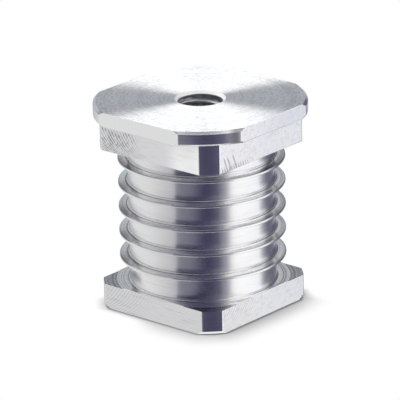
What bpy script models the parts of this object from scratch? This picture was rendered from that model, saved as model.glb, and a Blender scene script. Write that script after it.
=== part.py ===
"""Threaded tube insert: one piece of aluminium, turned, then milled square, with a tapped hole.

The head covers the cut end of a 40 mm square tube. The block and the foot slide inside the tube,
and the five thin fins on the waist stand a little proud of their flats and grip the tube's walls.
Units are metres, +Z is up, and the origin is the middle of the underside.
"""

import math

import bmesh
import bpy

MM = 0.001

# Heights, measured up from the underside
HEIGHT = 45.4 * MM
HEAD_UNDERSIDE = 42.2 * MM
BLOCK_UNDERSIDE = 35.5 * MM
FOOT_TOP = 5.3 * MM

# Turned diameters, as radii
HEAD_RADIUS = 22.75 * MM
BLOCK_RADIUS = 21.4 * MM
FOOT_STEP_RADIUS = 18.5 * MM
FIN_RADIUS = 17.8 * MM
CORE_RADIUS = 15.7 * MM

# Milled flats, as distances from the axis
HEAD_FLAT = 20.0 * MM
BLOCK_FLAT = 16.6 * MM

# Turned chamfers, which the flats leave on the corners only
HEAD_TOP_CHAMFER = 0.6 * MM
HEAD_LOWER_CHAMFER = 0.5 * MM
FOOT_CHAMFER = 0.8 * MM

# Fins: each has a narrow land at its rim and flanks that thicken towards the core
FIN_COUNT = 5
TOP_FIN_MIDDLE = 32.65 * MM
FIN_PITCH = 5.42 * MM
FIN_LAND = 0.6 * MM
FLANK_RISE = 0.25 * MM
FOOT_STEP = 0.10 * MM
FOOT_RISE = 0.24 * MM

# Hole for an M10 thread, drilled through and countersunk at both ends
DRILL_RADIUS = 4.25 * MM
COUNTERSINK_RADIUS = 5.43 * MM

TURNED_SEGMENTS = 40
CUTTER_MARGIN = 2.0 * MM
CUTTER_REACH = 30.0 * MM
SHARP_ANGLE = math.radians(25)

ALUMINIUM_COLOUR = (0.80, 0.80, 0.82, 1.0)
ALUMINIUM_ROUGHNESS = 0.28


def clear_scene():
    for old in list(bpy.data.objects):
        bpy.data.objects.remove(old, do_unlink=True)


def fin(middle):
    """Outline of one fin, from the core above it to the core below it."""
    half_land = FIN_LAND / 2
    half_root = half_land + FLANK_RISE
    return [
        (CORE_RADIUS, middle + half_root),
        (FIN_RADIUS, middle + half_land),
        (FIN_RADIUS, middle - half_land),
        (CORE_RADIUS, middle - half_root),
    ]


def outer_outline():
    """Outline of the turned outside, as (radius, height), from the top down."""
    head = [
        (HEAD_RADIUS - HEAD_TOP_CHAMFER, HEIGHT),
        (HEAD_RADIUS, HEIGHT - HEAD_TOP_CHAMFER),
        (HEAD_RADIUS, HEAD_UNDERSIDE + HEAD_LOWER_CHAMFER),
        (HEAD_RADIUS - HEAD_LOWER_CHAMFER, HEAD_UNDERSIDE),
    ]
    block = [(BLOCK_RADIUS, HEAD_UNDERSIDE), (BLOCK_RADIUS, BLOCK_UNDERSIDE)]
    waist = [(CORE_RADIUS, BLOCK_UNDERSIDE)]
    for number in range(FIN_COUNT):
        waist += fin(TOP_FIN_MIDDLE - number * FIN_PITCH)
    foot = [
        (CORE_RADIUS, FOOT_TOP + FOOT_RISE),
        (FOOT_STEP_RADIUS, FOOT_TOP + FOOT_STEP),
        (FOOT_STEP_RADIUS, FOOT_TOP),
        (BLOCK_RADIUS, FOOT_TOP),
        (BLOCK_RADIUS, FOOT_CHAMFER),
        (BLOCK_RADIUS - FOOT_CHAMFER, 0.0),
    ]
    return head + block + waist + foot


def hole_outline():
    """Outline of the drilled and countersunk hole, from the bottom up."""
    depth = COUNTERSINK_RADIUS - DRILL_RADIUS
    return [
        (COUNTERSINK_RADIUS, 0.0),
        (DRILL_RADIUS, depth),
        (DRILL_RADIUS, HEIGHT - depth),
        (COUNTERSINK_RADIUS, HEIGHT),
    ]


def new_object(name, mesh):
    made = bpy.data.objects.new(name, mesh)
    bpy.context.scene.collection.objects.link(made)
    return made


def turned_blank(name):
    """The outline as a closed ring of edges, with a Screw modifier that turns it about Z."""
    outline = outer_outline() + hole_outline()
    count = len(outline)
    mesh = bpy.data.meshes.new(name)
    mesh.from_pydata(
        [(radius, 0.0, height) for radius, height in outline],
        [(index, (index + 1) % count) for index in range(count)],
        [],
    )
    blank = new_object(name, mesh)
    turn = blank.modifiers.new("turn", "SCREW")
    turn.steps = TURNED_SEGMENTS
    turn.render_steps = TURNED_SEGMENTS
    return blank


def milling_envelope():
    """What the mill leaves standing: square sections at the foot, the block and the head."""
    waist_bottom = FOOT_TOP + CUTTER_MARGIN
    waist_top = BLOCK_UNDERSIDE - CUTTER_MARGIN
    sections = [
        (-CUTTER_MARGIN, BLOCK_FLAT),
        (waist_bottom, BLOCK_FLAT),
        (waist_bottom, CUTTER_REACH),
        (waist_top, CUTTER_REACH),
        (waist_top, BLOCK_FLAT),
        (HEAD_UNDERSIDE, BLOCK_FLAT),
        (HEAD_UNDERSIDE, HEAD_FLAT),
        (HEIGHT + CUTTER_MARGIN, HEAD_FLAT),
    ]
    shape = bmesh.new()
    loops = []
    for height, reach in sections:
        corners = [(-reach, -reach), (reach, -reach), (reach, reach), (-reach, reach)]
        loops.append([shape.verts.new((x, y, height)) for x, y in corners])
    shape.faces.new(reversed(loops[0]))
    for lower, upper in zip(loops, loops[1:]):
        for side in range(4):
            after = (side + 1) % 4
            shape.faces.new((lower[side], lower[after], upper[after], upper[side]))
    shape.faces.new(loops[-1])
    mesh = bpy.data.meshes.new("milling_envelope")
    shape.to_mesh(mesh)
    shape.free()
    envelope = new_object("milling_envelope", mesh)
    envelope.hide_render = True
    envelope.display_type = "WIRE"
    return envelope


def mill_flats(blank):
    """Cuts the flats: full corners stay where the turned radius reaches past them."""
    cut = blank.modifiers.new("mill", "BOOLEAN")
    cut.operation = "INTERSECT"
    cut.solver = "EXACT"
    cut.object = milling_envelope()


def finish_mesh(piece):
    """Makes the modifiers' result the object's own mesh, smooth where it was turned."""
    graph = bpy.context.evaluated_depsgraph_get()
    made = bpy.data.meshes.new_from_object(piece.evaluated_get(graph))
    made.name = piece.name
    piece.modifiers.clear()
    piece.data = made
    made.shade_smooth()
    made.set_sharp_from_angle(angle=SHARP_ANGLE)


def aluminium():
    material = bpy.data.materials.new("machined_aluminium")
    material.use_nodes = True
    shader = material.node_tree.nodes["Principled BSDF"]
    shader.inputs["Base Color"].default_value = ALUMINIUM_COLOUR
    shader.inputs["Metallic"].default_value = 1.0
    shader.inputs["Roughness"].default_value = ALUMINIUM_ROUGHNESS
    return material


def main():
    clear_scene()
    insert = turned_blank("tube_insert")
    mill_flats(insert)
    finish_mesh(insert)
    insert.data.materials.clear()
    insert.data.materials.append(aluminium())


main()
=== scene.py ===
"""Threaded tube insert: a fine mesh of the turned and milled aluminium piece, with its studio and camera.

The mesh is made of closed rings of points. Each ring has a turned radius, the distance of the milled
flats and a height, all in millimetres, so the flats, chamfers, fins and edge breaks are real surfaces.
"""

import math

import bmesh
import bpy
import numpy as np
from mathutils import Matrix, Vector


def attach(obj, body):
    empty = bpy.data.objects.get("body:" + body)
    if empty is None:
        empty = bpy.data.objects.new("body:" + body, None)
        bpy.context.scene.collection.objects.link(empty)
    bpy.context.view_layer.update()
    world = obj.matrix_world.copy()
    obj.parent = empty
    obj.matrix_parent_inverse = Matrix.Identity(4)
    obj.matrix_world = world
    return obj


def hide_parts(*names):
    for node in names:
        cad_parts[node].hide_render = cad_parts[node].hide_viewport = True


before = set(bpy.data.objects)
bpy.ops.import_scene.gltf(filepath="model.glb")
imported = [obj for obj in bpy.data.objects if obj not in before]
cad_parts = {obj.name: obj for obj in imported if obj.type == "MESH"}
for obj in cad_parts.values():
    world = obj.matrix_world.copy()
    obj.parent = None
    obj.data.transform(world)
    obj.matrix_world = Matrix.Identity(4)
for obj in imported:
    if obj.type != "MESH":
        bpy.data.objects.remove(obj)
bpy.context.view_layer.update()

MM = 0.001

# Material slots of the piece
TURNED, FLANK, FACED, MILLED, BORED, CONED = range(6)

# The piece, in millimetres
HEIGHT = 45.4
HEAD_UNDERSIDE = 42.2
BLOCK_UNDERSIDE = 35.5
FOOT_TOP = 5.3
HEAD_RADIUS = 22.75
BLOCK_RADIUS = 21.4
FOOT_STEP_RADIUS = 18.5
FIN_RADIUS = 17.8
CORE_RADIUS = 15.7
HEAD_FLAT = 20.0
BLOCK_FLAT = 16.6
HEAD_TOP_CHAMFER = 0.6
HEAD_LOWER_CHAMFER = 0.5
FOOT_CHAMFER = 0.8
EDGE_BREAK = 0.07
EDGE_BLEND = 0.08
NO_FLAT = 100.0

# Rings of an eased edge, as (distance down, distance back), and of the meeting of a chamfer with a side
EDGE_STEPS = ((0.0, EDGE_BREAK), (0.02, 0.02), (EDGE_BREAK, 0.0))
EDGE_LEAN = 0.3
CHAMFER_INSIDE = 0.03
CHAMFER_OUTSIDE = 0.04
CHAMFER_EASE = 0.015

# How the mesh's faces are told apart and shaded
SMOOTH_ANGLE = math.radians(35)
MOST_CORNERS = 8
FLANK_SLOPE = 0.9
PLANE_SLOPE = 0.9995
PLANE_MARGIN = 0.05
CONE_MARGIN = 0.03
MERGE_DISTANCE = 2e-7
LEAST_ANGLE = 1e-4

FIN_COUNT = 5
TOP_FIN_MIDDLE = 32.65
FIN_PITCH = 5.42
FIN_LAND = 0.6
FLANK_RISE = 0.25
ROOT_FILLET = 0.15
RIM_ROUND = 0.16
GROOVE_SPAN = 1.3
GROOVE_RISE = 0.09
GROOVE_STEPS = 5
FOOT_STEP = 0.1
FOOT_STEP_WIDTH = 0.04
FOOT_RISE = 0.24
FOOT_RINGS = (16.4, 16.8, 17.2, 17.9, FOOT_STEP_RADIUS, FOOT_STEP_RADIUS + FOOT_STEP_WIDTH, 19.4, 20.4)
FOOT_ZONE = 8.0

COUNTERSINK_RADIUS = 5.43
THREAD_MINOR = 4.19
THREAD_MAJOR = 5.0
THREAD_PITCH = 1.5
MOUTH_RADIUS = 4.8
MOUTH_DEPTH = 1.6
THREAD_START = 210.0

TURNED_COLUMNS = 192
BORE_COLUMNS = 96
BORE_END = 5.0
BORE_END_STEP = 0.1
BORE_STEP = 0.25
CORNER_OFFSETS = (-0.2, -0.1, 0.0, 0.1, 0.2)

# Camera, found by fitting the piece's edges to the photo
CAMERA_AZIMUTH = 40.578
CAMERA_ELEVATION = 19.515
CAMERA_DISTANCE = 873.5
CAMERA_TARGET_Z = 22.7
CAMERA_ROLL = 1.1055
CAMERA_LENS = 369.4
CAMERA_SHIFT = (-0.0054, -0.0015)

# What the metal shows of the studio's cards: its share of their light, and how many screen steps below
# their given level they are drawn
METAL_REFLECTANCE = 0.9
CARD_DROP = 2

# How violet a black card is, in screen steps, and the level from which on a card has no tint
CARD_TINT = 36
CARD_TINT_FROM = 200

# How many times brighter the highest cards are behind the piece, the turns from the camera between which
# that sets in and how far they are shifted to one side, in radians
BACK_LIGHT = 2.72
BACK_LIGHT_TURN = (2.2, 2.7)
BACK_LIGHT_SHIFT = 0.14

# The dark disc overhead, against white as 1
TOP_LIGHT = 0.2

# Sines of the elevations between which one ring of cards gives way to the next, from the lowest up
TABLE_EDGE = (-0.92, -0.76)
LOW_EDGE = (-0.34, -0.24)
LEVEL_EDGE = (0.24, 0.33)
HIGH_EDGE = (0.55, 0.61)
STRIP_EDGE = (0.80, 0.86)
OVERHEAD_EDGE = (0.92, 0.99)

# The bright strip overhead, by how far its directions point towards the camera
STRIP_NEAR = (0.02, 0.12)
STRIP_FAR = (0.32, 0.24)

# The cards, as (degrees from the camera, screen level that the metal shows there, red and blue steps)
CARDS_BELOW = [
    (-180, 192), (-160, 192), (-148, 206), (-136, 220), (-104, 220), (-84, 213), (-72, 206), (-60, 198),
    (-44, 186), (-40, 160), (-34, 143), (-24, 138), (-14, 122), (-5, 90), (4, 56), (12, 48), (24, 62),
    (36, 138), (41, 170), (46, 226), (52, 246), (66, 250), (84, 246), (98, 242), (102, 212), (106, 160),
    (112, 112), (120, 98), (132, 104), (144, 122), (154, 180), (166, 196),
]
CARDS_LEVEL = [
    (-180, 184, -6, 8), (-168, 180, -6, 8), (-156, 180, -4, 5), (-144, 194), (-132, 214), (-120, 222),
    (-84, 216), (-48, 180), (-43, 150), (-40, 52), (-24, 36), (-10, 40), (0, 60), (12, 84), (24, 118),
    (36, 168), (44, 222), (52, 246), (60, 250), (84, 248, 0, 6), (98, 244, 0, 8), (105, 222, 0, 8),
    (112, 178), (118, 126), (126, 102), (144, 88), (156, 94), (165, 174, -6, 8),
]
CARDS_UPPER = [
    (-180, 182, -4, 6), (-170, 158, -1, 3), (-160, 138, -1, 3), (-152, 116), (-142, 110), (-134, 128),
    (-127, 168), (-121, 200), (-98, 200), (-84, 194), (-72, 176), (-48, 158), (-36, 122), (-24, 82),
    (-12, 72), (0, 62), (12, 72), (24, 96), (36, 160), (46, 240), (56, 255), (106, 255), (115, 244),
    (122, 200), (128, 160), (136, 142), (146, 150), (154, 162), (162, 174, -1, 4), (172, 182, -1, 4),
]
CARDS_ABOVE = [
    (-180, 255), (-150, 240), (-128, 214), (-112, 176), (-60, 140), (-36, 120), (-24, 90), (-12, 76),
    (0, 70), (12, 76), (24, 92), (36, 160), (46, 240), (56, 255), (104, 250), (112, 210), (122, 182),
    (132, 205), (150, 250),
]

# Dullness of places on the turned metal, from 0 to 1; for the rims' edges, the sector, the roots and the
# facet's end it is painted shade
RIM_EDGE_SHADE = 0.32
SECTOR_SHADE = 0.5
RIGHT_ROOT_SHADE = 0.85
LEFT_ROOT_SHADE = 0.62
FACET_SHADE = 0.75
LINE_DULLNESS = 0.07
FLANK_GRAIN = 0.14
FOOT_RIM_DULLNESS = 0.44
SPECK_DULLNESS = 0.16
RING_DULLNESS = 0.28
FOOT_RING_DULLNESS = 0.10
STREAKED_DULLNESS = (0.06, 0.40)

# The share of the faced surfaces' marks that is broad, and the height over which a side's rings stay alike,
# in millimetres
FEED_SHARE = 0.45
RING_LEVEL = 2.5

# The painted shade on the upper edge of a fin's rim, in millimetres: where it starts and stops above the
# fin's middle, and how far inside the rim it fades in
EDGE_START = (0.08, 0.18)
EDGE_STOP = (0.45, 0.36)
EDGE_DEPTH = (0.30, 0.18)
RIM_MARGIN = 0.1

# The middle of the fins' sector of painted shade and the reach of its fade, as angles about the axis in
# degrees, then the radii in millimetres between which it grows from its least share to the whole
PAINTED_SHADE_SECTOR = -121.0
SECTOR_FADE = (20.0, 2.0)
SECTOR_RADII = (16.0, 17.2)
SECTOR_LEAST = 0.35

# Arcs on the waist: their middle and reach about the axis in degrees, then the distances of their inner and
# outer edges from the core in millimetres. The root arcs carry painted shade, the bright one a painted
# highlight
RIGHT_ROOT = (18.0, 36.0, 0.05, 0.42)
LEFT_ROOT = (-110.0, 60.0, 0.28, 0.60)
BRIGHT_ROOT = (-110.0, 44.0, 0.04, 0.28)
STREAKED_FLANK = (18.0, 56.0, 0.9, 2.3)
ARC_FADE = 14.0
RING_FADE = 0.1

# The end of the head's front corner that carries painted shade, as angles about the axis in degrees
FACET_FADE = (-36.0, -30.5)
FACET_END = -20.0

# How much of the light is mirrored, and not scattered, on the matt countersinks, on the bright rounds at the
# fins' roots and at the bright end of the block; on the rounds and the block's end the scattered light makes
# painted highlights
COUNTERSINK_METALLIC = 0.1
ROOT_METALLIC = 0.1
BLOCK_END_METALLIC = 0.55

# Colours of the metal where it is bright and where it is dull or in painted shade, and the blue of the
# painted reflection on the milled sides
TURNED_BRIGHT, TURNED_DULL = (0.93, 0.93, 0.94, 1), (0.20, 0.20, 0.22, 1)
FLANK_BRIGHT, FLANK_DULL = (1.0, 1.0, 1.0, 1), (0.16, 0.16, 0.17, 1)
FACED_BRIGHT, FACED_DULL = (1.0, 1.0, 1.0, 1), (0.62, 0.635, 0.66, 1)
MILLED_BRIGHT, MILLED_DULL, MILLED_REFLECTION_BLUE = (0.99, 0.99, 1.0, 1), (0.26, 0.26, 0.29, 1), (0.84, 0.86, 0.95, 1)
CONED_BRIGHT, CONED_DULL = (1.0, 1.0, 1.0, 1), (0.75, 0.75, 0.77, 1)

# The cutter's arcs on the milled sides, as (height of their centre, radius, pitch, side) in millimetres
STEEP_ARCS = (44.4, 9.2, 0.82, 1.0)
SHALLOW_ARCS = (48.0, 14.0, 1.05, -1.0)
TOOTH_ARCS = (30.0, 30.0, 0.74, -1.0)
FOOT_ARCS = (14.0, 16.0, 0.88, -1.0)

# Where the marks, the painted shade, the painted highlight and the painted blue reflection on the milled
# sides fade in, along the side in millimetres
HATCH_SPAN = (-1.5, -7.0)
TOOTH_SPAN = (-2.0, -7.0)
FOOT_LINE_SPAN = (1.0, -8.0)
UNDER_HEAD_SPAN = (6.0, 2.0)
BRIGHT_END_SPAN = (3.5, 8.5)
FAR_HEAD_SPAN = (-8.0, 8.0)
BLUE_SPAN = (-8.0, 6.0)

# How far up from a lower edge the marks and the painted shade under the head on the milled sides fade out, in
# millimetres
TOOTH_REACH = (0.2, 1.5)
LONG_MARK_REACH = (2.4, 3.6)
UNDER_HEAD_REACH = (0.22, 0.08)

# The three long marks on the block's sides that face along X: where their feet stand along the side, how
# far they fade to left and right in millimetres, and how far they lean for each millimetre up
LONG_MARKS = (-11.0, -9.9, -8.1)
LONG_MARK_FADE = (0.05, 0.30)
LONG_MARK_LEAN = 0.36

# Heights of the marks on the milled sides in millimetres
MARK_HEIGHT = 0.012
MOTTLE_HEIGHT = 0.008
STREAK_HEIGHT = 0.004

# How blue the painted reflection on the sides that face along X is, from 0 to 1, and how much more so on the
# head's
BLUE_SHARE = 0.25
HEAD_BLUE_SHARE = 0.45

# Keeps the noise of the sides that face along X apart from that of the others
SIDE_OFFSET = 7.0

# Dullness of the marks on the milled sides, from 0 to 1; the block's, the foot's, the far head's and the
# under-head ones are painted shade
HATCH_DULLNESS = 0.92
TOOTH_DULLNESS = 0.56
FOOT_LINE_DULLNESS = 0.20
BLOCK_SIDE_SHADE = 0.12
FOOT_SIDE_SHADE = 0.14
FAR_HEAD_SHADE = 0.08
UNDER_HEAD_SHADE = 0.30
STREAK_DULLNESS = 0.16
BLOTCH_DULLNESS = 0.17
SCRATCH_DULLNESS = 0.14

# How much brighter the dome's light is from the left, and the light that the metal throws onto the floor
SIDE_LIGHT = 0.35
FLOOR_GLEAM = 0.1

# The floor: half its width in metres, its white, and how far it lies below the underside in millimetres,
# so that the two never share a plane
FLOOR_REACH = 3.0
FLOOR_WHITE = 0.99
FLOOR_GAP = 0.03

# The painted contact shadow, a dark line round the foot in the floor's colour, in millimetres out from it,
# and how light it is
CONTACT_SPAN = (0.1, 0.9)
CONTACT_LEVEL = 0.48

# The shadow in millimetres: its reach beside and before the foot, and where the one gives way to the
# other. Its longest side is turned from the camera by some degrees
SHADOW_SIDE = 2.4
SHADOW_FRONT = 7.6
SHADOW_SPREAD = (4.5, 15.0)
SHADOW_TURN = 20.0


def column_angles():
    """Angles of the mesh columns: even steps, and more where a flat meets a turned surface."""
    angles = [2 * math.pi * step / TURNED_COLUMNS for step in range(TURNED_COLUMNS)]
    meetings = [
        (HEAD_RADIUS, HEAD_FLAT, CORNER_OFFSETS),
        (HEAD_RADIUS - HEAD_TOP_CHAMFER, HEAD_FLAT, (0.0,)),
        (HEAD_RADIUS - HEAD_LOWER_CHAMFER, HEAD_FLAT, (0.0,)),
        (BLOCK_RADIUS, BLOCK_FLAT, CORNER_OFFSETS),
        (BLOCK_RADIUS - FOOT_CHAMFER, BLOCK_FLAT, (0.0,)),
        (FOOT_STEP_RADIUS, BLOCK_FLAT - EDGE_BREAK, (0.0,)),
        (FOOT_STEP_RADIUS + FOOT_STEP_WIDTH, BLOCK_FLAT - EDGE_BREAK, (0.0,)),
    ]
    for radius, flat, offsets in meetings:
        half = math.acos(flat / radius)
        for side in range(4):
            for sign in (-1, 1):
                for offset in offsets:
                    angles.append((side * math.pi / 2 + sign * half + offset / radius) % (2 * math.pi))
    kept = []
    for angle in sorted(angles):
        if not kept or angle - kept[-1] > LEAST_ANGLE:
            kept.append(angle)
    return np.array(kept)


def to_plane(flat, angles):
    """Distance from the axis to the nearest of four milled planes, along each angle."""
    folded = (angles + math.pi / 4) % (math.pi / 2) - math.pi / 4
    return flat / np.cos(folded)


def clipped(radius, flat, angles):
    """Turned radius, or the milled flat where that is nearer, with the edge between them eased."""
    plane = to_plane(flat, angles)
    ease = np.clip(EDGE_BLEND - np.abs(radius - plane), 0, None) / EDGE_BLEND
    return np.minimum(radius, plane) - ease * ease * EDGE_BLEND / 4


def arc(centre_radius, centre_z, size, start, end, steps):
    """Rings of a round in the profile, from one angle to another in degrees."""
    points = []
    for step in range(steps + 1):
        turn = math.radians(start + (end - start) * step / steps)
        points.append((centre_radius + size * math.cos(turn), NO_FLAT, centre_z + size * math.sin(turn)))
    return points


def head_rings():
    """The head from its top edge to its underside, as (radius, flat, height)."""
    rings = []
    edge = HEAD_RADIUS - HEAD_TOP_CHAMFER
    for drop, back in EDGE_STEPS:
        rings.append((edge + drop - back * EDGE_LEAN, HEAD_FLAT - back, HEIGHT - drop))
    for drop in (0.2, 0.35, 0.5):
        rings.append((edge + drop, HEAD_FLAT, HEIGHT - drop))
    top = HEIGHT - HEAD_TOP_CHAMFER
    rings.append((HEAD_RADIUS - CHAMFER_EASE, HEAD_FLAT, top + CHAMFER_INSIDE))
    rings.append((HEAD_RADIUS, HEAD_FLAT, top - CHAMFER_OUTSIDE))
    foot = HEAD_UNDERSIDE + HEAD_LOWER_CHAMFER
    rings.append((HEAD_RADIUS, HEAD_FLAT, foot + CHAMFER_OUTSIDE))
    rings.append((HEAD_RADIUS - CHAMFER_EASE, HEAD_FLAT, foot - CHAMFER_INSIDE))
    low = HEAD_RADIUS - HEAD_LOWER_CHAMFER
    for rise in (0.35, 0.2):
        rings.append((low + rise, HEAD_FLAT, HEAD_UNDERSIDE + rise))
    for rise, back in reversed(EDGE_STEPS):
        rings.append((low + rise - back * EDGE_LEAN, HEAD_FLAT - back, HEAD_UNDERSIDE + rise))
    return rings


def block_rings():
    rings = [(BLOCK_RADIUS, BLOCK_FLAT, HEAD_UNDERSIDE)]
    for rise, back in reversed(EDGE_STEPS):
        rings.append((BLOCK_RADIUS - back, BLOCK_FLAT - back, BLOCK_UNDERSIDE + rise))
    return rings


def groove_floor(end):
    """Rings of the groove's floor down to a height, where it rises a little towards the fin below."""
    rings = []
    for step in range(GROOVE_STEPS):
        share = step / GROOVE_STEPS
        rings.append((CORE_RADIUS + GROOVE_RISE * share * share, NO_FLAT, end + GROOVE_SPAN * (1 - share)))
    return rings


def fin_rings(middle):
    half_land = FIN_LAND / 2
    half_root = half_land + FLANK_RISE
    root = CORE_RADIUS + ROOT_FILLET
    inner = FIN_RADIUS - RIM_ROUND
    rings = groove_floor(middle + half_root + ROOT_FILLET)
    rings += arc(root, middle + half_root + ROOT_FILLET, ROOT_FILLET, 168, 265, 5)
    rings += arc(inner, middle + half_land - RIM_ROUND, RIM_ROUND, 83, 0, 3)
    rings += arc(inner, middle - half_land + RIM_ROUND, RIM_ROUND, 0, -83, 3)
    rings += arc(root, middle - half_root - ROOT_FILLET, ROOT_FILLET, 95, 180, 5)
    return rings


def waist_rings():
    root = CORE_RADIUS + ROOT_FILLET
    rings = arc(root, BLOCK_UNDERSIDE - ROOT_FILLET, ROOT_FILLET, 90, 180, 5)
    for number in range(FIN_COUNT):
        rings += fin_rings(TOP_FIN_MIDDLE - number * FIN_PITCH)
    rings += groove_floor(FOOT_TOP + FOOT_RISE + ROOT_FILLET)
    rings += arc(root, FOOT_TOP + FOOT_RISE + ROOT_FILLET, ROOT_FILLET, 168, 262, 5)
    return rings


def foot_height(radius):
    """Height of the foot's upper face at a radius: a shallow cone, a small step and a flat rim."""
    start = CORE_RADIUS + ROOT_FILLET
    share = np.clip((radius - start) / (FOOT_STEP_RADIUS - start), 0, 1)
    cone = FOOT_TOP + FOOT_RISE + (FOOT_STEP - FOOT_RISE) * share
    fall = np.clip((radius - FOOT_STEP_RADIUS) / FOOT_STEP_WIDTH, 0, 1)
    return np.where(radius > FOOT_STEP_RADIUS, FOOT_TOP + FOOT_STEP * (1 - fall), cone)


def foot_loops(angles):
    """Loops of (radius, height) over the foot's upper face, down its side and to the underside."""
    loops = []
    edge = to_plane(BLOCK_FLAT - EDGE_BREAK, angles)
    for radius in FOOT_RINGS:
        reach = np.minimum(radius, edge)
        loops.append((reach, foot_height(reach)))
    for drop, back in EDGE_STEPS:
        reach = clipped(BLOCK_RADIUS - back, BLOCK_FLAT - back, angles)
        loops.append((reach, foot_height(np.minimum(reach, edge)) - drop))
    rings = [
        (BLOCK_RADIUS, BLOCK_FLAT, FOOT_CHAMFER + CHAMFER_OUTSIDE),
        (BLOCK_RADIUS - CHAMFER_EASE, BLOCK_FLAT, FOOT_CHAMFER - CHAMFER_INSIDE),
    ]
    for drop in (0.2, 0.4, 0.6):
        rings.append((BLOCK_RADIUS - drop, BLOCK_FLAT, FOOT_CHAMFER - drop))
    rings += [
        (BLOCK_RADIUS - 0.7, BLOCK_FLAT, 0.1),
        (BLOCK_RADIUS - 0.78, BLOCK_FLAT - 0.03, 0.03),
        (BLOCK_RADIUS - 0.83, BLOCK_FLAT - EDGE_BREAK, 0.0),
    ]
    return loops + ring_loops(rings, angles)


def ring_loops(rings, angles):
    return [(clipped(radius, flat, angles), np.full(len(angles), height)) for radius, flat, height in rings]


def thread_radius(angles, height):
    """Radius of the right-hand thread's surface, from its crest at the minor to its root at the major."""
    start = math.radians(THREAD_START)
    phase = (height - THREAD_PITCH * (angles - start) / (2 * math.pi)) % THREAD_PITCH
    from_root = np.abs(phase - THREAD_PITCH / 2)
    share = np.clip((from_root - THREAD_PITCH / 16) / (5 * THREAD_PITCH / 16), 0, 1)
    thread = THREAD_MAJOR + (THREAD_MINOR - THREAD_MAJOR) * share
    return np.maximum(thread, MOUTH_RADIUS) if min(height, HEIGHT - height) < MOUTH_DEPTH else thread


def bore_loops(angles):
    """Loops of the hole from the bottom up: countersink, thread, countersink."""
    heights = np.concatenate([
        np.arange(0, BORE_END, BORE_END_STEP),
        np.arange(BORE_END, HEIGHT - BORE_END, BORE_STEP),
        np.arange(HEIGHT - BORE_END, HEIGHT, BORE_END_STEP),
        [HEIGHT],
    ])
    loops = []
    for height in heights:
        depth = min(height, HEIGHT - height)
        cone = COUNTERSINK_RADIUS - depth
        loops.append((np.maximum(cone, thread_radius(angles, height)), np.full(len(angles), height)))
    return loops


def add_loop(shape, loop, angles):
    radius, height = loop
    return [
        shape.verts.new((r * math.cos(a) * MM, r * math.sin(a) * MM, z * MM))
        for r, a, z in zip(radius, angles, height)
    ]


def bridge(shape, first, second, slot):
    """Quads between two loops that have the same columns."""
    count = len(first)
    for here in range(count):
        after = (here + 1) % count
        face = shape.faces.new((first[here], second[here], second[after], first[after]))
        face.material_index = slot


def annulus(shape, outer, outer_angles, inner, inner_angles, slot):
    """Triangles of a flat ring between a loop with many columns and one with fewer."""
    outer_at, inner_at = 0, 0
    while outer_at < len(outer) or inner_at < len(inner):
        next_outer = outer_angles[outer_at + 1] if outer_at + 1 < len(outer) else 2 * math.pi
        next_inner = inner_angles[inner_at + 1] if inner_at + 1 < len(inner) else 2 * math.pi
        a, b = outer[outer_at % len(outer)], inner[inner_at % len(inner)]
        if outer_at < len(outer) and (next_outer <= next_inner or inner_at >= len(inner)):
            face = shape.faces.new((a, outer[(outer_at + 1) % len(outer)], b))
            outer_at += 1
        else:
            face = shape.faces.new((a, inner[(inner_at + 1) % len(inner)], b))
            inner_at += 1
        face.material_index = slot


def make_insert(materials):
    angles = column_angles()
    bore_angles = np.arange(BORE_COLUMNS) * 2 * math.pi / BORE_COLUMNS
    shape = bmesh.new()
    outside = ring_loops(head_rings() + block_rings() + waist_rings(), angles) + foot_loops(angles)
    loops = [add_loop(shape, loop, angles) for loop in outside]
    bore = [add_loop(shape, loop, bore_angles) for loop in bore_loops(bore_angles)]
    for first, second in zip(loops, loops[1:]):
        bridge(shape, first, second, TURNED)
    for first, second in zip(bore, bore[1:]):
        bridge(shape, first, second, BORED)
    mark_countersinks(shape)
    annulus(shape, loops[0], angles, bore[-1], bore_angles, FACED)
    annulus(shape, loops[-1], angles, bore[0], bore_angles, FACED)
    bmesh.ops.remove_doubles(shape, verts=shape.verts, dist=MERGE_DISTANCE)
    bmesh.ops.recalc_face_normals(shape, faces=shape.faces)
    mark_regions(shape)
    mesh = bpy.data.meshes.new("insert")
    shape.to_mesh(mesh)
    shape.free()
    for material in materials:
        mesh.materials.append(material)
    mesh.shade_smooth()
    set_normals(mesh)
    piece = bpy.data.objects.new("insert", mesh)
    bpy.context.scene.collection.objects.link(piece)
    return piece


def turned_about_z(vectors, turn):
    """The vectors, each turned about the vertical axis by its own angle."""
    cos, sin = np.cos(turn), np.sin(turn)
    x, y, z = vectors.T
    return np.stack([x * cos - y * sin, x * sin + y * cos, z], axis=1)


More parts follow.
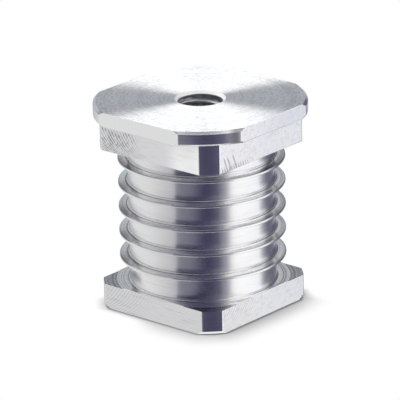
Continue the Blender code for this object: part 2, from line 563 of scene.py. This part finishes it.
def set_normals(mesh):
    """Shades turned faces as true rounds and milled faces as true planes, whatever their widths are."""
    corners, faces = len(mesh.loops), len(mesh.polygons)
    points = np.empty(len(mesh.vertices) * 3)
    mesh.vertices.foreach_get("co", points)
    points = points.reshape(-1, 3)
    vertex = np.empty(corners, dtype=np.int32)
    mesh.loops.foreach_get("vertex_index", vertex)
    sizes = np.empty(faces, dtype=np.int32)
    mesh.polygons.foreach_get("loop_total", sizes)
    slots = np.empty(faces, dtype=np.int32)
    mesh.polygons.foreach_get("material_index", slots)
    areas, centres, plain = np.empty(faces), np.empty(faces * 3), np.empty(faces * 3)
    mesh.polygons.foreach_get("area", areas)
    mesh.polygons.foreach_get("center", centres)
    mesh.polygons.foreach_get("normal", plain)
    centres, plain = centres.reshape(-1, 3), plain.reshape(-1, 3)
    owner = np.repeat(np.arange(faces), sizes)
    corner_angle = np.arctan2(points[vertex, 1], points[vertex, 0])
    turn = corner_angle - np.arctan2(centres[owner, 1], centres[owner, 0])
    milled = slots[owner] == MILLED
    own = turned_about_z(plain[owner], np.where(milled, 0.0, turn))
    total = own * areas[owner, None]
    order = np.argsort(vertex, kind="stable")
    for step in range(1, MOST_CORNERS):
        here, there = order[:-step], order[step:]
        near = (vertex[here] == vertex[there]) & (milled[here] == milled[there])
        near &= np.sum(own[here] * own[there], axis=1) > math.cos(SMOOTH_ANGLE)
        here, there = here[near], there[near]
        np.add.at(total, here, own[there] * areas[owner[there], None])
        np.add.at(total, there, own[here] * areas[owner[here], None])
    total /= np.linalg.norm(total, axis=1)[:, None]
    mesh.normals_split_custom_set(total.tolist())


def mark_countersinks(shape):
    """Gives the cones at both ends of the hole their material, and leaves the thread its own."""
    for face in shape.faces:
        centre = face.calc_center_median()
        depth = min(centre.z / MM, HEIGHT - centre.z / MM)
        cone = COUNTERSINK_RADIUS + CONE_MARGIN - depth
        if face.material_index == BORED and math.hypot(centre.x, centre.y) / MM < cone:
            face.material_index = CONED


def mark_regions(shape):
    """Gives the faces on the milled planes the milled material, and the level turned ones their own."""
    for face in shape.faces:
        if face.material_index != TURNED:
            continue
        centre, normal = face.calc_center_median(), face.normal
        if abs(normal.z) > FLANK_SLOPE:
            face.material_index = FLANK
        if max(abs(normal.x), abs(normal.y)) > PLANE_SLOPE:
            on_plane = abs(centre.x if abs(normal.x) > abs(normal.y) else centre.y) / MM
            if min(abs(on_plane - HEAD_FLAT), abs(on_plane - BLOCK_FLAT)) < PLANE_MARGIN:
                face.material_index = MILLED


def screen_colour(level, red=0.0, blue=0.0):
    """Linear colour of a screen grey from 0 to 255, with its red and blue moved by the given steps."""
    def linear(value):
        share = min(255.0, value) / 255
        return share / 12.92 if share <= 0.04045 else ((share + 0.055) / 1.055) ** 2.4
    return linear(level + red), linear(level), linear(level + blue)


class Nodes:
    """Short calls for adding and joining shader nodes."""

    def __init__(self, tree):
        self.tree = tree

    def add(self, kind, **settings):
        node = self.tree.nodes.new(kind)
        for name, value in settings.items():
            setattr(node, name, value)
        return node

    def feed(self, socket, value):
        if isinstance(value, bpy.types.NodeSocket):
            self.tree.links.new(value, socket)
        else:
            socket.default_value = value

    def math(self, operation, *values):
        node = self.add("ShaderNodeMath", operation=operation)
        for socket, value in zip(node.inputs, values):
            self.feed(socket, value)
        return node.outputs[0]

    def smooth(self, value, low, high, to_low=0.0, to_high=1.0):
        node = self.add("ShaderNodeMapRange", interpolation_type="SMOOTHSTEP")
        names = ("Value", "From Min", "From Max", "To Min", "To Max")
        for name, given in zip(names, (value, low, high, to_low, to_high)):
            self.feed(node.inputs[name], given)
        return node.outputs[0]

    def product(self, *values):
        total = values[0]
        for value in values[1:]:
            total = self.math("MULTIPLY", total, value)
        return total

    def over(self, base, mask, share):
        """The base with a share of the mask added to it."""
        return self.math("MULTIPLY_ADD", mask, share, base)

    def rest(self, share):
        return self.math("SUBTRACT", 1.0, share)

    def apart(self, first, second):
        return self.math("ABSOLUTE", self.math("SUBTRACT", first, second))

    def length(self, x, y):
        return self.math("SQRT", self.math("ADD", self.math("MULTIPLY", x, x), self.math("MULTIPLY", y, y)))

    def mix_shader(self, share, first, second):
        node = self.add("ShaderNodeMixShader")
        for socket, value in zip(node.inputs, (share, first, second)):
            self.feed(socket, value)
        return node.outputs[0]

    def noise(self, vector, scale, detail=2.0, roughness=0.5):
        node = self.add("ShaderNodeTexNoise")
        self.feed(node.inputs["Vector"], vector)
        node.inputs["Scale"].default_value = scale
        node.inputs["Detail"].default_value = detail
        node.inputs["Roughness"].default_value = roughness
        return node.outputs[0]

    def combine(self, x, y, z):
        node = self.add("ShaderNodeCombineXYZ")
        for socket, value in zip(node.inputs, (x, y, z)):
            self.feed(socket, value)
        return node.outputs[0]

    def separate(self, vector):
        node = self.add("ShaderNodeSeparateXYZ")
        self.feed(node.inputs[0], vector)
        return node.outputs[0], node.outputs[1], node.outputs[2]

    def mix_colour(self, share, first, second):
        node = self.add("ShaderNodeMix", data_type="RGBA")
        self.feed(node.inputs[0], share)
        self.feed(node.inputs[6], first)
        self.feed(node.inputs[7], second)
        return node.outputs[2]

    def ramp(self, value, stops):
        node = self.add("ShaderNodeValToRGB")
        self.feed(node.inputs[0], value)
        elements = node.color_ramp.elements
        while len(elements) > 1:
            elements.remove(elements[-1])
        elements[0].position, elements[0].color = stops[0]
        for position, colour in stops[1:]:
            elements.new(position).color = colour
        return node.outputs[0]


def metal(name, colour, roughness, anisotropy):
    material = bpy.data.materials.new(name)
    material.use_nodes = True
    nodes = Nodes(material.node_tree)
    shader = material.node_tree.nodes["Principled BSDF"]
    shader.inputs["Base Color"].default_value = colour
    shader.inputs["Metallic"].default_value = 1.0
    shader.inputs["Roughness"].default_value = roughness
    shader.inputs["Anisotropic"].default_value = anisotropy
    shader.inputs["Anisotropic Rotation"].default_value = 0.25
    tangent = nodes.add("ShaderNodeTangent", direction_type="RADIAL", axis="Z")
    nodes.feed(shader.inputs["Tangent"], tangent.outputs[0])
    return material, nodes, shader


def bump(nodes, shader, height, distance):
    node = nodes.add("ShaderNodeBump")
    node.inputs["Strength"].default_value = 1.0
    node.inputs["Distance"].default_value = distance
    nodes.feed(node.inputs["Height"], height)
    nodes.feed(shader.inputs["Normal"], node.outputs[0])


def around(nodes):
    """Object coordinates, the distance from the axis and the height, in metres."""
    place = nodes.add("ShaderNodeTexCoord").outputs["Object"]
    x, y, z = nodes.separate(place)
    return place, nodes.length(x, y), z


def in_millimetres(nodes, length):
    return nodes.math("MULTIPLY", length, 1 / MM)


def fade_degrees(nodes, turn, degrees):
    """From 0 to 1 between two angles, which are given in degrees."""
    return nodes.smooth(turn, *[math.radians(value) for value in degrees])


def fin_edge_shade(nodes, radius, z):
    """1 on the upper edge of each fin's rim, where a dark line of painted shade lies."""
    start = (TOP_FIN_MIDDLE - FIN_PITCH / 2) * MM
    turns = nodes.math("DIVIDE", nodes.math("SUBTRACT", z, start), FIN_PITCH * MM)
    rise = nodes.math("MULTIPLY", nodes.math("SUBTRACT", nodes.math("FRACT", turns), 0.5), FIN_PITCH)
    upper = nodes.product(nodes.smooth(rise, *EDGE_START), nodes.smooth(rise, *EDGE_STOP))
    rim = nodes.product(
        nodes.smooth(radius, *[(FIN_RADIUS - depth) * MM for depth in EDGE_DEPTH]),
        nodes.math("LESS_THAN", radius, (FIN_RADIUS + RIM_MARGIN) * MM))
    return nodes.product(upper, rim, nodes.math("GREATER_THAN", z, FOOT_ZONE * MM))


def round_place(nodes, place, radius, reach):
    """The angle about the axis as two coordinates on a circle of the given reach, so that it has no seam."""
    x, y, _ = nodes.separate(place)
    scale = nodes.math("DIVIDE", reach, radius)
    return nodes.math("MULTIPLY", x, scale), nodes.math("MULTIPLY", y, scale)


def turn_about(nodes, place):
    """Angle about the axis, in radians."""
    x, y, _ = nodes.separate(place)
    return nodes.math("ARCTAN2", y, x)


def painted_shade_sector(nodes, place):
    """1 on the sector of the fins that is darkened with painted shade, fading to 0 on both sides of it."""
    away = nodes.apart(turn_about(nodes, place), math.radians(PAINTED_SHADE_SECTOR))
    return fade_degrees(nodes, away, SECTOR_FADE)


def waist_arc(nodes, place, radius, arc):
    """1 on a ring round part of the waist, fading to 0 at its edges and its ends."""
    middle, reach, inner, outer = arc
    inner, outer, fade = (CORE_RADIUS + inner) * MM, (CORE_RADIUS + outer) * MM, RING_FADE * MM
    away = nodes.apart(turn_about(nodes, place), math.radians(middle))
    return nodes.product(
        nodes.smooth(radius, outer, outer - fade),
        nodes.smooth(radius, inner, inner + fade),
        fade_degrees(nodes, away, (reach, reach - ARC_FADE)))


def root_shade_lines(nodes, place, radius):
    """How dark the lines of painted shade beside the fins' roots are."""
    right = nodes.math("MULTIPLY", waist_arc(nodes, place, radius, RIGHT_ROOT), RIGHT_ROOT_SHADE)
    left = nodes.math("MULTIPLY", waist_arc(nodes, place, radius, LEFT_ROOT), LEFT_ROOT_SHADE)
    return nodes.math("MAXIMUM", right, left)


def root_metallic(nodes, place, radius):
    """Metallic of the turned surfaces: low on the rounds at the fins' roots on one side, for a painted
    highlight, a pale line.
    """
    return nodes.over(1.0, waist_arc(nodes, place, radius, BRIGHT_ROOT), ROOT_METALLIC - 1)


def turned_metal():
    """Upright turned surfaces: fine rings, painted shade on the fins' edges, on a sector, beside the roots
    and at one end of the front corner, and a painted highlight at the roots.
    """
    material, nodes, shader = metal("turned_side", (0.90, 0.90, 0.91, 1), roughness=0.17, anisotropy=1.0)
    place, radius, z = around(nodes)
    grooves = nodes.noise(nodes.combine(radius, z, 0.0), scale=6000, detail=3.0, roughness=0.6)
    bump(nodes, shader, grooves, distance=0.000004)
    # Painted shade: a dark line on the fins' rim edges, darker on the shaded sector
    dull = nodes.over(RIM_EDGE_SHADE, painted_shade_sector(nodes, place), SECTOR_SHADE)
    edge = nodes.math("MULTIPLY", fin_edge_shade(nodes, radius, z), dull)
    across, ahead = round_place(nodes, place, radius, 1.0)
    lines = nodes.noise(nodes.combine(across, in_millimetres(nodes, z), ahead), scale=1.7, roughness=0.6)
    shade = nodes.math("ADD", edge, nodes.smooth(lines, 0.45, 0.75, 0.0, LINE_DULLNESS))
    # Painted shade in arcs beside the fins' roots
    shade = nodes.math("ADD", root_shade_lines(nodes, place, radius), shade)
    turn = turn_about(nodes, place)
    # Painted shade at one end of the head's front corner
    facet_end = nodes.product(
        nodes.math("GREATER_THAN", z, HEAD_UNDERSIDE * MM),
        fade_degrees(nodes, turn, FACET_FADE),
        nodes.math("LESS_THAN", turn, math.radians(FACET_END)))
    shade = nodes.over(shade, facet_end, FACET_SHADE)
    nodes.feed(shader.inputs["Base Color"], nodes.mix_colour(shade, TURNED_BRIGHT, TURNED_DULL))
    nodes.feed(shader.inputs["Metallic"], root_metallic(nodes, place, radius))
    return material


def flank_metal():
    """The fins' sides and the shoulders: brushed in rings by the tool's point, with painted shade on the
    fins' edges, on one sector and beside the roots.
    """
    material, nodes, shader = metal("turned_flank", (0.90, 0.90, 0.91, 1), roughness=0.14, anisotropy=0.8)
    place, radius, z = around(nodes)
    across = in_millimetres(nodes, radius)
    level = nodes.math("FLOOR", nodes.math("DIVIDE", z, RING_LEVEL * MM))
    rings = nodes.noise(nodes.combine(across, level, 0.0), scale=2.4, detail=1.0, roughness=0.6)
    bump(nodes, shader, rings, distance=0.00001)
    on_foot = nodes.math("LESS_THAN", z, FOOT_ZONE * MM)
    step = FOOT_STEP_RADIUS * MM
    foot_rim = nodes.math("MULTIPLY", on_foot, nodes.smooth(radius, step, step + RING_FADE * MM))
    specks = nodes.smooth(nodes.noise(place, scale=1500, detail=1.0), 0.35, 0.70, SPECK_DULLNESS, 0.0)
    ring_share = nodes.over(RING_DULLNESS, on_foot, FOOT_RING_DULLNESS)
    shade = nodes.math("MULTIPLY", nodes.smooth(rings, 0.42, 0.66), ring_share)
    # Painted shade: a dark line on the fins' rim edges
    shade = nodes.over(shade, fin_edge_shade(nodes, radius, z), RIM_EDGE_SHADE)
    shade = nodes.over(nodes.over(shade, foot_rim, FOOT_RIM_DULLNESS), foot_rim, specks)
    outer = nodes.smooth(radius, *[reach * MM for reach in SECTOR_RADII], SECTOR_LEAST, 1.0)
    # Painted shade on one sector of the fins' sides
    on_fins = nodes.product(painted_shade_sector(nodes, place), nodes.rest(on_foot), outer)
    grain = nodes.smooth(nodes.noise(place, scale=1700, roughness=0.6), 0.35, 0.70, 0.0, FLANK_GRAIN)
    shade = nodes.over(nodes.math("ADD", shade, grain), on_fins, SECTOR_SHADE)
    broad = nodes.noise(nodes.combine(across, level, 7.0), scale=1.9, detail=1.0, roughness=0.6)
    streaks = nodes.smooth(broad, 0.35, 0.62, *STREAKED_DULLNESS)
    shade = nodes.over(shade, waist_arc(nodes, place, radius, STREAKED_FLANK), streaks)
    # Painted shade in arcs beside the fins' roots
    shade = nodes.math("ADD", root_shade_lines(nodes, place, radius), shade)
    nodes.feed(shader.inputs["Base Color"], nodes.mix_colour(shade, FLANK_BRIGHT, FLANK_DULL))
    nodes.feed(shader.inputs["Metallic"], root_metallic(nodes, place, radius))
    return material


def faced_metal():
    """The faced top and underside: broad and fine marks of the tool in rings about the hole."""
    material, nodes, shader = metal("turned_face", (0.90, 0.91, 0.93, 1), roughness=0.42, anisotropy=0.97)
    place, radius, _ = around(nodes)
    rings = in_millimetres(nodes, radius)
    across, ahead = round_place(nodes, place, radius, 0.35)
    feed = nodes.noise(nodes.combine(rings, across, ahead), scale=2.2, detail=3.0, roughness=0.7)
    across, ahead = round_place(nodes, place, radius, 9.0)
    grain = nodes.noise(nodes.combine(rings, across, ahead), scale=1.9, roughness=0.6)
    bump(nodes, shader, grain, distance=0.00004)
    broad = nodes.smooth(feed, 0.30, 0.65, 0.0, FEED_SHARE)
    shade = nodes.math("ADD", broad, nodes.smooth(grain, 0.30, 0.65, 0.0, 1 - FEED_SHARE))
    nodes.feed(shader.inputs["Base Color"], nodes.mix_colour(shade, FACED_DULL, FACED_BRIGHT))
    return material


def side_place(nodes):
    """Place on a milled side in millimetres, along it and up it, and 1 on the sides that face along X."""
    place = nodes.separate(nodes.add("ShaderNodeTexCoord").outputs["Object"])
    x, y, z = [in_millimetres(nodes, value) for value in place]
    faces_x = nodes.math("GREATER_THAN", nodes.math("ABSOLUTE", x), nodes.math("ABSOLUTE", y))
    along_y, along_x = nodes.math("MULTIPLY", y, faces_x), nodes.math("MULTIPLY", x, nodes.rest(faces_x))
    return nodes.math("ADD", along_y, along_x), z, faces_x


def cutter_arcs(nodes, along, z, arcs):
    """Rounded ridges from 0 to 1 along the arcs that a milling cutter leaves."""
    centre_z, radius, pitch, side = arcs
    rise = nodes.math("SUBTRACT", centre_z, z)
    inside = nodes.math("SUBTRACT", radius * radius, nodes.math("MULTIPLY", rise, rise))
    depth = nodes.math("SQRT", nodes.math("MAXIMUM", inside, 0.0))
    phase = nodes.math("DIVIDE", nodes.over(along, depth, side), pitch)
    return nodes.over(0.5, nodes.math("SINE", nodes.math("MULTIPLY", phase, 2 * math.pi)), 0.5)


def tooth_marks(nodes, along, z):
    """Marks of the cutter's teeth up from the block's lower edge: a row of short ones and three long ones."""
    low = nodes.math("SUBTRACT", z, BLOCK_UNDERSIDE)
    row = cutter_arcs(nodes, along, z, TOOTH_ARCS)
    marks = nodes.product(row, nodes.smooth(low, *TOOTH_REACH, 1.0, 0.0), nodes.smooth(along, *TOOTH_SPAN))
    lean = nodes.math("MULTIPLY", low, LONG_MARK_LEAN)
    height = nodes.smooth(low, *LONG_MARK_REACH, 1.0, 0.0)
    for foot in LONG_MARKS:
        beside = nodes.math("ABSOLUTE", nodes.math("ADD", nodes.math("SUBTRACT", along, foot), lean))
        mark = nodes.product(nodes.smooth(beside, *LONG_MARK_FADE, 1.0, 0.0), height)
        marks = nodes.math("MAXIMUM", marks, mark)
    return marks


def milled_metal():
    """Milled sides: streaks along the cut, arcs of the cutter near some of the corners, and painted shade, a
    painted highlight and a painted blue reflection in places.
    """
    material, nodes, shader = metal("milled_flat", (0.95, 0.95, 0.96, 1), roughness=0.20, anisotropy=0.5)
    along, z, faces_x = side_place(nodes)
    faces_y = nodes.rest(faces_x)
    on_head = nodes.math("GREATER_THAN", z, HEAD_UNDERSIDE)
    on_foot = nodes.math("LESS_THAN", z, FOOT_ZONE)
    on_block = nodes.math("SUBTRACT", nodes.rest(on_head), on_foot)
    own = nodes.math("MULTIPLY", faces_x, SIDE_OFFSET)
    drawn_out = nodes.combine(nodes.math("MULTIPLY", along, 0.1), z, own)
    streaks = nodes.noise(drawn_out, scale=1.5, detail=1.0, roughness=0.6)
    mottle = nodes.noise(nodes.combine(along, z, own), scale=0.7, detail=1.0)

    crossed = nodes.smooth(cutter_arcs(nodes, along, z, SHALLOW_ARCS), 0.0, 1.0, 0.62, 1.0)
    patchy = nodes.smooth(mottle, 0.35, 0.65, 0.35, 1.0)
    left_end = nodes.smooth(along, *HATCH_SPAN)
    hatch = nodes.product(
        cutter_arcs(nodes, along, z, STEEP_ARCS), crossed, patchy, left_end, on_block, faces_y)
    teeth = nodes.product(tooth_marks(nodes, along, z), on_block, faces_x)
    foot_lines = nodes.product(
        cutter_arcs(nodes, along, z, FOOT_ARCS), on_foot, nodes.over(0.75, faces_x, 0.25),
        nodes.smooth(along, *FOOT_LINE_SPAN, 0.25, 1.0))
    low_head = nodes.smooth(z, *[HEAD_UNDERSIDE + reach for reach in UNDER_HEAD_REACH])
    under_head = nodes.product(on_head, low_head, nodes.smooth(along, *UNDER_HEAD_SPAN))

    bright_end = nodes.smooth(along, *BRIGHT_END_SPAN)
    far_head = nodes.product(faces_x, on_head, nodes.smooth(along, *FAR_HEAD_SPAN))
    shade = nodes.over(nodes.math("MULTIPLY", teeth, TOOTH_DULLNESS), hatch, HATCH_DULLNESS)
    shade = nodes.over(shade, foot_lines, FOOT_LINE_DULLNESS)
    # Painted shade on the block's and the foot's sides that face along Y, none at the block's front end
    shade = nodes.over(shade, nodes.product(faces_y, on_block, nodes.rest(bright_end)), BLOCK_SIDE_SHADE)
    shade = nodes.over(shade, nodes.product(faces_y, on_foot), FOOT_SIDE_SHADE)
    # Painted shade towards the far end of the head's sides that face along X
    shade = nodes.over(shade, far_head, FAR_HEAD_SHADE)
    # Painted shade: a dark line along the head's lower edge
    shade = nodes.over(shade, under_head, UNDER_HEAD_SHADE)
    below_head = nodes.math("MULTIPLY", nodes.rest(on_head), nodes.over(1.0, faces_x, -0.6))
    shade = nodes.over(shade, nodes.smooth(streaks, 0.50, 0.75, 0.0, STREAK_DULLNESS), below_head)
    flattened = nodes.combine(along, nodes.math("MULTIPLY", z, 1.3), own)
    blotches = nodes.noise(flattened, scale=0.9, detail=3.0, roughness=0.7)
    blotched = nodes.math("MULTIPLY", faces_x, BLOTCH_DULLNESS)
    shade = nodes.over(shade, nodes.smooth(blotches, 0.46, 0.68), blotched)
    slanted = nodes.combine(nodes.over(along, z, 0.6), nodes.math("MULTIPLY", z, 0.25), own)
    scratches = nodes.noise(slanted, scale=2.6, detail=1.0)
    shade = nodes.over(shade, nodes.smooth(scratches, 0.50, 0.70, 0.0, SCRATCH_DULLNESS), far_head)

    colour = nodes.mix_colour(shade, MILLED_BRIGHT, MILLED_DULL)
    # A painted blue reflection on the sides that face along X, stronger towards their far ends
    reflection_blue_share = nodes.over(BLUE_SHARE, on_head, HEAD_BLUE_SHARE)
    blue = nodes.product(faces_x, nodes.smooth(along, *BLUE_SPAN), reflection_blue_share)
    nodes.feed(shader.inputs["Base Color"], nodes.mix_colour(blue, colour, MILLED_REFLECTION_BLUE))
    # Painted highlight: the block's front end, on its sides that face along Y, mirrors less and scatters more
    # light
    matt = nodes.product(bright_end, faces_y, on_block)
    nodes.feed(shader.inputs["Metallic"], nodes.over(1.0, matt, BLOCK_END_METALLIC - 1))

    marks = nodes.math("SUBTRACT", nodes.over(hatch, foot_lines, 0.3), teeth)
    height = nodes.over(nodes.math("MULTIPLY", streaks, STREAK_HEIGHT), marks, MARK_HEIGHT)
    bump(nodes, shader, nodes.over(height, mottle, MOTTLE_HEIGHT), distance=MM)
    return material


# The thread's metal is drawn dark, as painted shade in the hole
def bore_metal():
    material, nodes, shader = metal("threaded_bore", (0.50, 0.50, 0.53, 1), roughness=0.30, anisotropy=0.3)
    place = nodes.add("ShaderNodeTexCoord").outputs["Object"]
    bump(nodes, shader, nodes.noise(place, scale=4000), distance=0.000004)
    return material


def countersink_metal():
    """The cones: a fine matt cut, with faint rings."""
    material, nodes, shader = metal("countersunk", (0.96, 0.96, 0.97, 1), roughness=0.35, anisotropy=0.3)
    _, radius, _ = around(nodes)
    rings = nodes.noise(nodes.combine(in_millimetres(nodes, radius), 0.0, 0.0), scale=3.0, detail=1.0)
    shade = nodes.smooth(rings, 0.4, 0.7, 0.0, 0.2)
    nodes.feed(shader.inputs["Base Color"], nodes.mix_colour(shade, CONED_BRIGHT, CONED_DULL))
    nodes.feed(shader.inputs["Metallic"], COUNTERSINK_METALLIC)
    return material


def camera_axes():
    azimuth, elevation = math.radians(CAMERA_AZIMUTH), math.radians(CAMERA_ELEVATION)
    level = math.cos(elevation)
    back = Vector((math.sin(azimuth) * level, -math.cos(azimuth) * level, math.sin(elevation)))
    right = Vector((math.cos(azimuth), math.sin(azimuth), 0))
    return right, back.cross(right), back


def make_camera():
    right, up, back = camera_axes()
    roll = math.radians(CAMERA_ROLL)
    rolled_right = right * math.cos(roll) - up * math.sin(roll)
    rolled_up = right * math.sin(roll) + up * math.cos(roll)
    data = bpy.data.cameras.new("camera")
    data.lens = CAMERA_LENS
    data.sensor_width = 36.0
    data.shift_x, data.shift_y = CAMERA_SHIFT
    data.clip_start = 0.01
    camera = bpy.data.objects.new("camera", data)
    place = Vector((0, 0, CAMERA_TARGET_Z * MM)) + back * CAMERA_DISTANCE * MM
    camera.matrix_world = Matrix(
        [[rolled_right[i], rolled_up[i], back[i], place[i]] for i in range(3)] + [[0, 0, 0, 1]]
    )
    bpy.context.scene.collection.objects.link(camera)
    bpy.context.scene.camera = camera


def card_stops(cards):
    """Ramp stops of one ring of cards, each of which shows its own level on the metal."""
    stops = []
    for degrees, level, *steps in cards:
        violet = CARD_TINT * max(0.0, 1 - level / CARD_TINT_FROM)
        red, blue = steps or (0.1 * violet, violet)
        shown = [value / METAL_REFLECTANCE for value in screen_colour(level - CARD_DROP, red, blue)]
        stops.append((degrees / 360 + 0.5, (*shown, 1.0)))
    return stops


def towards_azimuth(nodes, x, y, degrees):
    """How far x and y reach towards an azimuth, which is counted as the camera's is."""
    azimuth = math.radians(degrees)
    across = nodes.math("MULTIPLY", x, math.sin(azimuth))
    return nodes.math("SUBTRACT", across, nodes.math("MULTIPLY", y, math.cos(azimuth)))


def grey(level):
    return level, level, level, 1


def studio_cards(nodes, z, towards, turn):
    """What the metal mirrors: rings of cards one above the other, a bright strip and a dark disc overhead."""
    share = nodes.math("MULTIPLY_ADD", turn, 1 / (2 * math.pi), 0.5)
    below, level, upper, above = [
        nodes.ramp(share, card_stops(cards)) for cards in (CARDS_BELOW, CARDS_LEVEL, CARDS_UPPER, CARDS_ABOVE)
    ]
    away = nodes.apart(turn, BACK_LIGHT_SHIFT)
    high = nodes.add("ShaderNodeVectorMath", operation="SCALE")
    nodes.feed(high.inputs[0], above)
    nodes.feed(high.inputs["Scale"], nodes.smooth(away, *BACK_LIGHT_TURN, 1.0, BACK_LIGHT))
    seen = nodes.mix_colour(nodes.smooth(z, *TABLE_EDGE), grey(1.0), below)
    for edge, cards in ((LOW_EDGE, level), (LEVEL_EDGE, upper), (HIGH_EDGE, high.outputs[0])):
        seen = nodes.mix_colour(nodes.smooth(z, *edge), seen, cards)
    strip = nodes.product(
        nodes.smooth(z, *STRIP_EDGE), nodes.smooth(towards, *STRIP_NEAR), nodes.smooth(towards, *STRIP_FAR))
    overhead = nodes.math("MULTIPLY", nodes.smooth(z, *OVERHEAD_EDGE), nodes.rest(strip))
    return nodes.mix_colour(overhead, nodes.mix_colour(strip, seen, grey(1.0)), grey(TOP_LIGHT))


def make_world():
    """White to the camera, a dome that is brighter on the left to matt surfaces, and cards to the metal."""
    world = bpy.data.worlds.new("studio")
    bpy.context.scene.world = world
    world.use_nodes = True
    world.node_tree.nodes.clear()
    nodes = Nodes(world.node_tree)
    x, y, z = nodes.separate(nodes.add("ShaderNodeTexCoord").outputs["Generated"])
    towards = towards_azimuth(nodes, x, y, CAMERA_AZIMUTH)
    sideways = towards_azimuth(nodes, x, y, CAMERA_AZIMUTH + 90)
    cards = studio_cards(nodes, z, towards, nodes.math("ARCTAN2", sideways, towards))
    path = nodes.add("ShaderNodeLightPath")
    side = nodes.smooth(sideways, -1.0, 1.0, 1 + SIDE_LIGHT, 1 - SIDE_LIGHT)
    dome = nodes.mix_colour(path.outputs["Is Camera Ray"], nodes.combine(side, side, side), grey(1.0))
    after_matt = nodes.math("GREATER_THAN", path.outputs["Diffuse Depth"], 0.5)
    mirrored = nodes.mix_colour(after_matt, cards, grey(FLOOR_GLEAM))
    background = nodes.add("ShaderNodeBackground")
    nodes.feed(background.inputs["Color"], nodes.mix_colour(path.outputs["Is Glossy Ray"], dome, mirrored))
    output = nodes.add("ShaderNodeOutputWorld")
    nodes.feed(output.inputs["Surface"], background.outputs[0])


def pale_floor():
    """White to the camera, but matt near the foot, where it shows the shadow and a painted contact shadow,
    and clear from below.
    """
    material = bpy.data.materials.new("pale_floor")
    material.use_nodes = True
    nodes = Nodes(material.node_tree)
    x, y, _ = nodes.separate(nodes.add("ShaderNodeTexCoord").outputs["Object"])
    widest = nodes.math("MAXIMUM", nodes.math("ABSOLUTE", x), nodes.math("ABSOLUTE", y))
    from_flats = nodes.math("SUBTRACT", widest, BLOCK_FLAT * MM)
    across = nodes.length(x, y)
    from_side = nodes.math("MAXIMUM", from_flats, nodes.math("SUBTRACT", across, BLOCK_RADIUS * MM))
    corner = (BLOCK_RADIUS - FOOT_CHAMFER) * MM
    from_edge = nodes.math("MAXIMUM", from_flats, nodes.math("SUBTRACT", across, corner))
    near, far = CONTACT_SPAN
    # Painted contact shadow: the floor's colour is darker right round the foot
    shade = nodes.smooth(from_edge, near * MM, far * MM, CONTACT_LEVEL, FLOOR_WHITE)
    matt = nodes.add("ShaderNodeBsdfDiffuse")
    nodes.feed(matt.inputs["Color"], nodes.combine(shade, shade, shade))
    ahead = towards_azimuth(nodes, x, y, CAMERA_AZIMUTH + SHADOW_TURN)
    beside, before = SHADOW_SPREAD
    reach = nodes.smooth(ahead, beside * MM, before * MM, SHADOW_SIDE * MM, SHADOW_FRONT * MM)
    to_camera = nodes.add("ShaderNodeLightPath").outputs["Is Camera Ray"]
    white_share = nodes.math("MULTIPLY", nodes.smooth(from_side, 0.0, reach), to_camera)
    white = nodes.add("ShaderNodeEmission").outputs[0]
    top = nodes.mix_shader(white_share, matt.outputs[0], white)
    clear = nodes.add("ShaderNodeBsdfTransparent").outputs[0]
    surface = nodes.mix_shader(nodes.add("ShaderNodeNewGeometry").outputs["Backfacing"], top, clear)
    nodes.feed(material.node_tree.nodes["Material Output"].inputs["Surface"], surface)
    return material


def make_floor():
    mesh = bpy.data.meshes.new("floor")
    corners = [(-1, -1), (1, -1), (1, 1), (-1, 1)]
    points = [(x * FLOOR_REACH, y * FLOOR_REACH, -FLOOR_GAP * MM) for x, y in corners]
    mesh.from_pydata(points, [], [(0, 1, 2, 3)])
    mesh.materials.append(pale_floor())
    floor = bpy.data.objects.new("floor", mesh)
    bpy.context.scene.collection.objects.link(floor)
    floor.visible_glossy = False


insert = make_insert([
    turned_metal(), flank_metal(), faced_metal(), milled_metal(), bore_metal(), countersink_metal(),
])
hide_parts("tube_insert")
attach(insert, "root")
make_floor()
make_world()
make_camera()

scene = bpy.context.scene
scene.view_settings.view_transform = "Standard"
